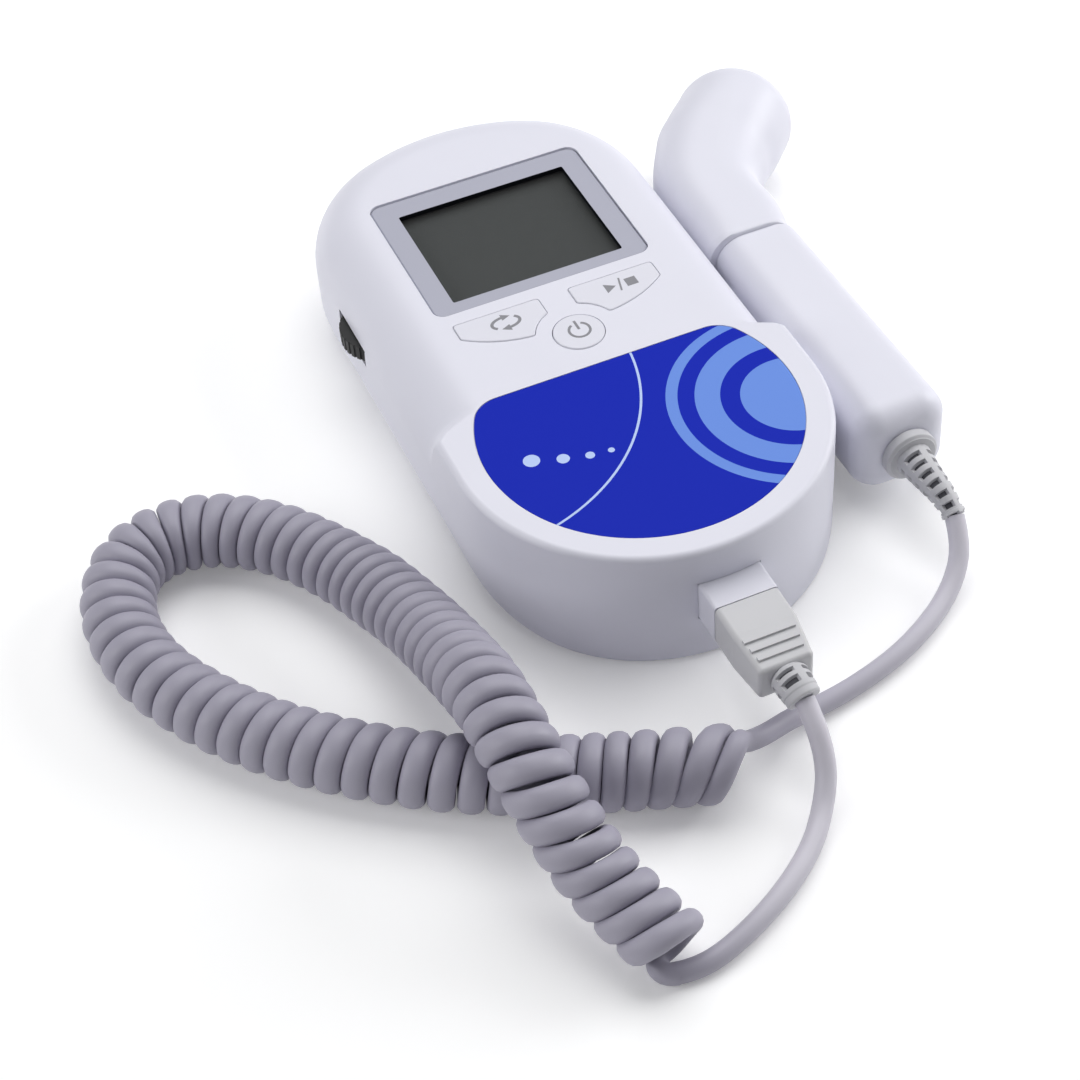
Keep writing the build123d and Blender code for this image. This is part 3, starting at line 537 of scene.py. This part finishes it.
def cord_skin(name, path, outward, sections, coil_shade_share):
    """A skin along the cord's path: its sections where it is pressed, and round everywhere else. A shade share of
    1 gives the wound jacket's darker colour, a painted shade between the turns, and 0 the lighter lead."""
    count = len(path)
    along = [(path[min(i + 1, count - 1)] - path[max(i - 1, 0)]).normalized() for i in range(count)]
    out = dict(outward)
    for i in range(min(out) - 1, -1, -1):
        out[i] = out[i + 1] - along[i] * out[i + 1].dot(along[i])
    for i in range(max(out) + 1, count):
        out[i] = out[i - 1] - along[i] * out[i - 1].dot(along[i])
    rings, wound = [], []
    for i, centre in enumerate(path):
        up = (out[i] - along[i] * out[i].dot(along[i])).normalized()
        across = along[i].cross(up)
        deep, wide, power = sections.get(i, (CORD_R, CORD_R, 2))
        ring = [centre + up * u + across * v for u, v in superellipse(deep, wide, power, RING_POINTS)]
        # no point goes below the table's top
        rings.append([Vector((p.x, p.y, max(p.z, 0.0))) for p in ring])
        wound += [coil_shade_share[i]] * RING_POINTS
    obj = ring_mesh(name, rings, CORD, 60)
    # the wound attribute carries the coil's painted shade
    obj.data.attributes.new("wound", "FLOAT", "POINT").data.foreach_set("value", wound)
    return obj


def make_cords():
    """The probe's side with the coil, and the plug's side from the coil's lower end."""
    coil = coil_line()
    turns = turn_points(coil)
    path_a = route_points("probe_side", PROBE_LEAD + turns + CURL, RINGS_PER_STEP)
    outward, sections = coil_sections(path_a, turns, coil)
    # painted shade comes in where the turns begin
    coil_shade_share = [ease(0, min(outward), i) for i in range(len(path_a))]
    cord_a = cord_skin("cord_probe_side", path_a, outward, sections, coil_shade_share)
    path_b = route_points("plug_side", [LEAD_JOIN, LEAD_AWAY] + PLUG_LEAD, 12)
    # painted shade fades out over the first half of the plug's lead
    coil_shade_share = [1 - ease(0, len(path_b) // 2, i) for i in range(len(path_b))]
    cord_b = cord_skin("cord_plug_side", path_b, {0: Vector((0, 0, 1))}, {}, coil_shade_share)
    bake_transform(cord_a)
    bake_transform(cord_b)
    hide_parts("cord_probe_lead", "cord_coil")
    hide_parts("cord_plug_lead")


make_cords()


# ---------------------------------------------------------------- casing front

def stations(spacing=1.5):
    """Points and outward normals round the casing's widest outline, from the display end's middle."""
    round_y = HALF_WIDTH - HALF_LENGTH
    end_y = HALF_LENGTH - TOP_END_RADIUS
    corner_x = HALF_WIDTH - TOP_CORNER_RADIUS
    corner_y = end_y + math.sqrt((TOP_END_RADIUS - TOP_CORNER_RADIUS) ** 2 - corner_x**2)
    corner_start = math.atan2(corner_x, corner_y - end_y)
    half = [(0, HALF_LENGTH, 0, 1)]

    def arc(cx, cy, radius, start, end):
        count = max(2, round((end - start) * radius / spacing))
        for i in range(1, count + 1):
            a = start + (end - start) * i / count
            half.append((cx + radius * math.sin(a), cy + radius * math.cos(a), math.sin(a), math.cos(a)))

    arc(0, end_y, TOP_END_RADIUS, 0, corner_start)
    arc(corner_x, corner_y, TOP_CORNER_RADIUS, corner_start, math.pi / 2)
    count = round((corner_y - round_y) / spacing)
    for i in range(1, count + 1):
        half.append((HALF_WIDTH, corner_y + (round_y - corner_y) * i / count, 1, 0))
    arc(0, round_y, HALF_WIDTH, math.pi / 2, math.pi)
    return half + [(-x, y, -nx, ny) for x, y, nx, ny in half[-2:0:-1]]


def casing_rings(inset):
    """Rings from the parting line up over the shoulder, drawn in by the inset."""
    around = stations()
    low, high = PARTING_Z, HEIGHT - inset
    rings = []
    under_steps, shoulder_steps = 6, 14
    for k in range(under_steps + shoulder_steps + 2):
        ring = []
        for x, y, nx, ny in around:
            shoulder = max(CRISP_RIM + (SOFT_SHOULDER - CRISP_RIM) * ease(*RIM_CHANGE, y) - inset, 0.8)
            under = max(UNDER_NOSE + (UNDER_SIDE - UNDER_NOSE) * ease(*UNDER_CHANGE, y) - inset, 0.8)
            base = inset + under
            if k <= under_steps:
                start = math.asin(min(max((base - low) / under, 0.0), 1.0))
                a = start * (1 - k / under_steps)
                step = under * (1 - math.cos(a))
                z = max(base - under * math.sin(a), low)
            else:
                a = math.pi / 2 * (k - under_steps - 1) / shoulder_steps
                step = shoulder * (1 - math.cos(a))
                z = high - shoulder + shoulder * math.sin(a)
            ring.append((x - nx * (inset + step), y - ny * (inset + step), z))
        rings.append(ring)
    return rings


def side_key_outline(side, grow=0.0):
    """Straight top, curved lower edge, hollowed round the power key, with small corner radii."""
    cx, cy, cr = SIDE_KEY_CURVE[0], SIDE_KEY_CURVE[1], SIDE_KEY_CURVE[2] + grow
    hollow = KEY_HOLLOW_R - grow
    left, right, top = 3.0 - grow, 20.0 + grow, 4.3 + grow
    corner_y = cy - math.sqrt(cr**2 - (right - cx) ** 2)
    # where the lower edge meets the hollow
    dx, dy = cx, cy - POWER_Y
    apart = math.hypot(dx, dy)
    along = (hollow**2 - cr**2 + apart**2) / (2 * apart)
    off = math.sqrt(hollow**2 - along**2)
    meet = (dx / apart * along + dy / apart * off, POWER_Y + dy / apart * along - dx / apart * off)
    inner_y = POWER_Y + math.sqrt(hollow**2 - left**2)
    a0 = math.degrees(math.atan2(corner_y - cy, right - cx))
    a1 = math.degrees(math.atan2(meet[1] - cy, meet[0] - cx))
    b0 = math.degrees(math.atan2(meet[1] - POWER_Y, meet[0]))
    b1 = math.degrees(math.atan2(inner_y - POWER_Y, left))
    pieces = [[(left, top), (right, top)], arc_points(cx, cy, cr, a0, a1, 16),
              arc_points(0, POWER_Y, hollow, b0, b1, 12)]
    sharp = [p for piece in pieces for p in piece]
    kept = [p for i, p in enumerate(sharp) if math.dist(p, sharp[i - 1]) > 1e-4]
    rounded = round_corners(kept, 0.7 + grow)
    return [(side * x, y) for x, y in (rounded if side > 0 else rounded[::-1])]


def round_corners(points, radius):
    """Replace each sharp corner of a closed outline with an arc."""
    out = []
    count = len(points)
    for i, here in enumerate(points):
        before, after = Vector(points[i - 1]), Vector(points[(i + 1) % count])
        here = Vector(here)
        a, b = (before - here).normalized(), (after - here).normalized()
        turn = math.pi - a.angle(b)
        if turn < math.radians(20):
            out.append(tuple(here))
            continue
        reach = min(radius * math.tan(turn / 2), 0.45 * (before - here).length + 0.3)
        steps = 6
        for k in range(steps + 1):
            t = k / steps
            p, q = here + a * reach * (1 - t), here + b * reach * t
            out.append(tuple(p.lerp(q, t)))
    return out


def label_outline(grow=0.0):
    """A disc cut off by a straight top edge, with rounded corners."""
    radius, top = LABEL_R + grow, LABEL_TOP_Y + grow
    corner = LABEL_CORNER
    inner = radius - corner
    cy = top - corner
    cx = math.sqrt(inner**2 - (cy - LABEL_Y) ** 2)
    a = math.degrees(math.atan2(cy - LABEL_Y, cx))
    points = arc_points(cx, cy, corner, 90, a, 14)
    points += arc_points(0, LABEL_Y, radius, a, -180 - a, 120)[1:]
    points += arc_points(-cx, cy, corner, 180 - a, 90, 14)[1:]
    return points[::-1]


def make_front():
    """The front casing as a shell, cut for the display, keys, label, wheel, socket and jack."""
    outer, inner = casing_rings(0.0), casing_rings(WALL)
    count = len(outer[0])
    points = [p for ring in outer for p in ring] + [p for ring in inner for p in ring]
    rows, total = len(outer), len(outer) * count
    faces = grid_faces(rows, count)
    faces += [tuple(i + total for i in reversed(f)) for f in grid_faces(rows, count)]
    faces.append(tuple(range(total - count, total)))
    faces.append(tuple(range(2 * total - count, 2 * total))[::-1])
    for j in range(count):
        k = (j + 1) % count
        faces.append((j, total + j, total + k, k))
    body = mesh_object("front_shell", points, faces, CASE)
    left, right = SOCKET_X - SOCKET_W / 2 - SOCKET_GAP, SOCKET_X + SOCKET_W / 2 + SOCKET_GAP
    tools = [
        prism("cutter", rounded_rectangle(0, DISPLAY_Y, OPENING_W, OPENING_H, OPENING_CORNER), 20, CUT_TOP, CASE),
        prism("cutter", rounded_rectangle(0, BEZEL_Y, BEZEL_W + BEZEL_GAP, BEZEL_H + BEZEL_GAP, BEZEL_CORNER),
              BEZEL_BASE_Z, CUT_TOP, CASE),
        prism("cutter", side_key_outline(-1, KEY_GAP), KEY_CUT_Z, CUT_TOP, GROOVE),
        prism("cutter", side_key_outline(1, KEY_GAP), KEY_CUT_Z, CUT_TOP, GROOVE),
        prism("cutter", arc_points(0, POWER_Y, POWER_R + POWER_GAP, 0, 354, 59), KEY_CUT_Z, CUT_TOP, GROOVE),
        prism("cutter", label_outline(LABEL_GAP), LABEL_Z, CUT_TOP, CASE),
        prism("cutter", [(-40, WHEEL_SLOT_Y0), (-30, WHEEL_SLOT_Y0), (-30, WHEEL_SLOT_Y1), (-40, WHEEL_SLOT_Y1)],
              WHEEL_SLOT_Z0, WHEEL_SLOT_Z1, CASE),
        prism("cutter", [(left, -75), (right, -75), (right, -60), (left, -60)],
              SOCKET_Z0 - SOCKET_GAP, SOCKET_Z1 + SOCKET_GAP, CASE),
        ring_mesh("cutter", [[(JACK_R * math.cos(a), y, JACK_Z + JACK_R * math.sin(a))
                         for a in (2 * math.pi * i / 32 for i in range(32))] for y in (60, 75)], CASE),
    ]
    cut(body, tools)
    smooth(body, 30)
    weight_normals(body)
    finish_piece(body, "main", "case", "front_case")


make_front()

label = prism("label_overlay", label_outline(), LABEL_Z, LABEL_Z + LABEL_T, LABEL)
finish_piece(label, "main", "label", "label_panel")


# ---------------------------------------------------------------- key symbols

def strip(points, width):
    """A flat band of the given width along a line, as an outline."""
    left, right = [], []
    for i, here in enumerate(points):
        a, b = Vector(points[max(i - 1, 0)]), Vector(points[min(i + 1, len(points) - 1)])
        along = (b - a).normalized()
        across = Vector((-along.y, along.x)) * width / 2
        left.append(tuple(Vector(here) + across))
        right.append(tuple(Vector(here) - across))
    return left + right[::-1]


def symbol(name, outlines, body):
    """Printed shapes, each a hair's breadth of ink on the key's top."""
    points, faces = [], []
    for outline in outlines:
        start = len(points)
        count = len(outline)
        points += [(x, y, KEY_TOP_Z - 0.01) for x, y in outline]
        points += [(x, y, KEY_TOP_Z + 0.02) for x, y in outline]
        faces.append(tuple(range(start + count, start + 2 * count)))
        faces.append(tuple(range(start, start + count))[::-1])
        for i in range(count):
            k = (i + 1) % count
            faces.append((start + i, start + k, start + count + k, start + count + i))
    obj = mesh_object(name, points, faces, PRINT)
    finish_piece(obj, body, "key")


def loop_arrow(centre, way):
    """Half of an oval loop with an arrow head at the middle of its top, or with way -1 turned half round."""
    curve = [(2.7 * math.cos(a), 1.55 * math.sin(a)) for a in (math.radians(222 - 8.9 * i) for i in range(15))]
    head = [(-0.35, 2.45), (-0.35, 0.75), (1.35, 1.5)]
    return [[(centre[0] + way * x, centre[1] + way * y) for x, y in shape] for shape in (strip(curve, 0.6), head)]


symbol("power_symbol", [strip(arc_points(0.3, POWER_Y + 0.3, 1.95, 118, 422, 40), 0.5),
                        strip([(0.3, POWER_Y + 0.5), (0.3, POWER_Y + 3.0)], 0.5)], "power_key")
symbol("mode_symbol", loop_arrow((-10.85, 0.7), 1) + loop_arrow((-10.85, 0.7), -1), "mode_key")
symbol("start_stop_symbol", [
    [(9.2, 2.1), (9.2, -0.5), (11.3, 0.8)],
    strip([(11.75, -0.9), (12.6, 2.6)], 0.36),
    [(13.3, -0.35), (15.5, -0.35), (15.5, 1.85), (13.3, 1.85)],
], "start_key")


# ---------------------------------------------------------------- probe head

def rounded_reach(half_x, half_z, corner, c, s):
    """How far a rounded rectangle reaches from its middle in the direction (c, s)."""
    c, s = abs(c), abs(s)
    flat = min(half_x / max(c, 1e-9), half_z / max(s, 1e-9))
    inner_x, inner_z = half_x - corner, half_z - corner
    if c * flat <= inner_x or s * flat <= inner_z:
        return flat
    along = c * inner_x + s * inner_z
    return along + math.sqrt(max(along**2 - inner_x**2 - inner_z**2 + corner**2, 0.0))


def section_ring(centre, side, width, height, corner, count=72):
    """A rounded rectangle about a centre, with its width sideways and its height upright."""
    ring = []
    for i in range(count):
        c, s = math.cos(2 * math.pi * i / count), math.sin(2 * math.pi * i / count)
        reach = rounded_reach(width / 2, height / 2, corner, c, s)
        ring.append(centre + side * (reach * c) + Vector((0, 0, reach * s)))
    return ring


def smooth_between(rings, count):
    """Rings on smooth curves through the given ones."""
    out = []
    for i in range(len(rings) - 1):
        a, b, c, d = rings[max(i - 1, 0)], rings[i], rings[i + 1], rings[min(i + 2, len(rings) - 1)]
        for k in range(count):
            t = k / count
            out.append([(q * 2 + (r - p) * t + (p * 2 - q * 5 + r * 4 - s) * t**2
                         + (q * 3 - p - r * 3 + s) * t**3) / 2 for p, q, r, s in zip(a, b, c, d)])
    return out + [rings[-1]]


def make_head():
    """Square at the seam, round at the listening end, and bent between them."""
    middle = Vector((*HEAD_CENTRE, HANDLE_Z))
    bend = Vector((HANDLE_X, HEAD_BEND_Y, HANDLE_Z))
    along = (middle - bend).normalized()
    half_turn = (along + Vector((0, 1, 0))).normalized()
    side = Vector((along.y, -along.x, 0))

    def square(y, shift, *size):
        return section_ring(Vector((HANDLE_X + shift, y, HANDLE_Z)), Vector((1, 0, 0)), *size)

    def ahead(distance, shift, *size):
        return section_ring(middle + along * distance + side * shift, side, *size)

    collar = square(SEAM_Y + 1.5, -1.5, 18.0, HEAD_HEIGHT, HEAD_CORNER)
    lip = [square(SEAM_Y, SEAM_SHIFT, SEAM_W - 1.0, HANDLE_SIZE - 1.0, HANDLE_CORNER),
           square(SEAM_Y + 0.12, -1.0, 17.6, 19.4, 5.8), square(SEAM_Y + 0.4, -1.4, 18.0, 20.15, HEAD_CORNER)]
    body = smooth_between([
        collar,
        square(SEAM_Y + 9, -0.5, 19.6, HEAD_HEIGHT, HEAD_CORNER + 0.8),
        section_ring(bend, Vector((half_turn.y, -half_turn.x, 0)), 20.8, 20.9, 8.2),
        ahead(-14, -1.6, 23.2, 21.8, 9.8),
        ahead(-7, -0.7, 24.6, 23.6, 11.6),
        ahead(HEAD_FACE - HEAD_ROUND, 0.3, 2 * HEAD_R, 2 * HEAD_R, HEAD_R),
    ], 9)
    bowl = []
    for k in range(1, 15):
        a = math.pi / 2 * k / 14
        radius = HEAD_R - HEAD_ROUND * (1 - math.cos(a))
        bowl.append(ahead(HEAD_FACE - HEAD_ROUND * (1 - math.sin(a)), 0.3, 2 * radius, 2 * radius, radius))
    obj = ring_mesh("probe_head_shell", lip + body + bowl, CASE, 50)
    weight_normals(obj)
    finish_piece(obj, "probe", "case", "probe_head")


make_head()


# ---------------------------------------------------------------- strain reliefs

SLOT_TURN = math.radians(16)
SLOT_DEPTH = 0.75
SLOT_FROM, SLOT_TO = 14, 76                    # degrees of each quarter that a slot takes


def sleeve(name, route, radii, slots, body, node):
    """A tapered flexible sleeve along a bent line, with four rows of slots and a plain spine between each two."""
    line, length = evenly(route_points(name + "_line", route), 0.1)
    around = 96
    start, gap, wide, rows = slots
    rings, marks = [], []
    for i, centre in enumerate(line):
        along = (line[min(i + 2, len(line) - 1)] - line[max(i - 2, 0)]).normalized()
        across = along.cross(Vector((0, 0, 1))).normalized()
        over = across.cross(along)
        s = length * i / (len(line) - 1)
        slotted = any(abs(s - start - k * gap) < wide / 2 for k in range(rows))
        ring = []
        for j in range(around):
            a = 2 * math.pi * j / around
            hit = slotted and SLOT_FROM < math.degrees(a - SLOT_TURN) % 90 < SLOT_TO
            reach = radii(s, length) - (SLOT_DEPTH if hit else 0.0)
            ring.append(centre + (across * math.cos(a) + over * math.sin(a)) * reach)
            marks.append(hit)
        rings.append(ring)
    obj = ring_mesh(name, rings, BOOT, 40)
    obj.data.materials.append(SLOT)
    for face in obj.data.polygons:
        if len(face.vertices) == 4 and all(marks[v] for v in face.vertices):
            face.material_index = 1
    finish_piece(obj, body, "boot", node)


def probe_boot_radius(s, length):
    """Plain collar, and the sleeve with a thin lip at its end."""
    if s < 2.4:
        return 5.1 - 0.6 * ease(1.8, 2.4, s) - 0.25 * (1 - ease(0.0, 0.3, s))
    if length - s < 0.8:
        return 2.2
    return 3.4 - 1.4 * (s - 2.4) / (length - 3.2)


sleeve("probe_sleeve", [(HANDLE_X, HANDLE_TAIL_Y, HANDLE_Z), (HANDLE_X, -53.5, HANDLE_Z), (45.0, -58.0, 12.1),
                        (45.5, -61.8, 11.4), BOOT_TIP],
       probe_boot_radius, (4.25, 2.05, 0.95, 7), "probe", "probe_boot")


def plug_boot_radius(s, length):
    """Full at the plug, and a plain ring at the cord."""
    if s < 0.5:
        return 3.1 + 0.3 * ease(0, 0.5, s)
    if length - s < 1.3:
        return 3.1 - 0.2 * ease(0.3, 0.0, length - s)
    return 3.4 - 0.35 * (s / length) ** 2


sleeve("plug_sleeve", [(SOCKET_X, PLUG_Y1, PLUG_Z), (SOCKET_X, -90.2, PLUG_Z), (0.8, -92.0, 14.1), PLUG_BOOT_TIP],
       plug_boot_radius, (1.3, 1.55, 0.75, 2), "plug", "plug_boot")


# ---------------------------------------------------------------- the nodes that are shown as they are

SHOWN = {
    "rear_case": CASE, "battery_door": CASE, "lcd_bezel": BEZEL, "lcd_window": WINDOW, "lcd_panel": LCD,
    "lcd_tray": TRAY, "lcd_strip": ELASTOMER, "mode_button": KEY, "start_stop_button": KEY,
    "power_button": KEY, "keypad_mat": MAT, "main_board": BOARD, "board_chips": CHIP, "board_screws": STEEL,
    "case_screws": STEEL, "volume_wheel": WHEEL, "volume_pot": BLACK, "headphone_jack": BLACK,
    "speaker_frame": BASKET, "speaker_cone": PAPER, "speaker_magnet": MAGNET, "battery_left": CELL,
    "battery_right": CELL, "battery_springs": STEEL, "battery_plates": STEEL, "socket_housing": SOCKET,
    "socket_contacts": GOLD, "plug_body": PLUG, "plug_contacts": BLACK, "probe_cradle": CASE,
    "probe_handle": CASE, "probe_lens": LENS, "transducer_disc": CERAMIC, "probe_board": BOARD,
}
for name, mat in SHOWN.items():
    node = NODES[name]
    node.data.materials.clear()
    node.data.materials.append(mat)

# the wall of the display opening is dark: the frame's upright faces that look inward
frame_skin = NODES["lcd_bezel"].data
frame_skin.materials.append(DARK_OPENING_WALL)
for face in frame_skin.polygons:
    x, y, _ = face.center * 1000
    inward = face.normal.x * x + face.normal.y * (y - BEZEL_Y) < 0
    if abs(face.normal.z) < 0.3 and inward:
        face.material_index = 1


# ---------------------------------------------------------------- floor and light

def table_material():
    """A white table top that also reads white where it is seen directly, in gloss or through a window."""
    made = material("white_table", "#FFFFFF", 0.8)
    tree = made.node_tree
    seen = add(tree, "ShaderNodeLightPath")
    either = add(tree, "ShaderNodeMath", {0: seen.outputs["Is Camera Ray"], 1: seen.outputs["Is Glossy Ray"]},
                 operation="MAXIMUM")
    any_of = add(tree, "ShaderNodeMath", {0: either.outputs[0], 1: seen.outputs["Is Transmission Ray"]},
                 operation="MAXIMUM")
    lift = add(tree, "ShaderNodeMath", {0: any_of.outputs[0], 1: 0.16}, operation="MULTIPLY")
    shader = tree.nodes["Principled BSDF"]
    shader.inputs["Emission Color"].default_value = (1, 1, 1, 1)
    tree.links.new(lift.outputs[0], shader.inputs["Emission Strength"])
    return made


def make_stage():
    """A white table, three soft lamps and a faint sky."""
    bpy.ops.mesh.primitive_plane_add(size=3.0, location=(0, 0, -0.0001))
    floor = bpy.context.object
    floor.name = "floor"
    floor.data.materials.append(table_material())
    for name, place, size, power in (
        ("overhead", (0.2, 0.3, 0.9), 0.9, 6.0),
        ("right_fill", (0.85, 0.0, 0.4), 0.5, 4.2),
        ("left_fill", (-0.85, 0.05, 0.4), 0.5, 2.7),
    ):
        data = bpy.data.lights.new(name, "AREA")
        data.size, data.energy = size, power
        lamp = bpy.data.objects.new(name, data)
        bpy.context.scene.collection.objects.link(lamp)
        lamp.location = place
        lamp.rotation_euler = (Vector((0, -0.02, 0)) - Vector(place)).to_track_quat("-Z", "Y").to_euler()
    world = bpy.data.worlds.new("world")
    bpy.context.scene.world = world
    world.use_nodes = True
    world.node_tree.nodes["Background"].inputs["Color"].default_value = (0.96, 0.97, 1.0, 1)
    world.node_tree.nodes["Background"].inputs["Strength"].default_value = 0.2


make_stage()
bpy.context.scene.view_settings.view_transform = "Standard"
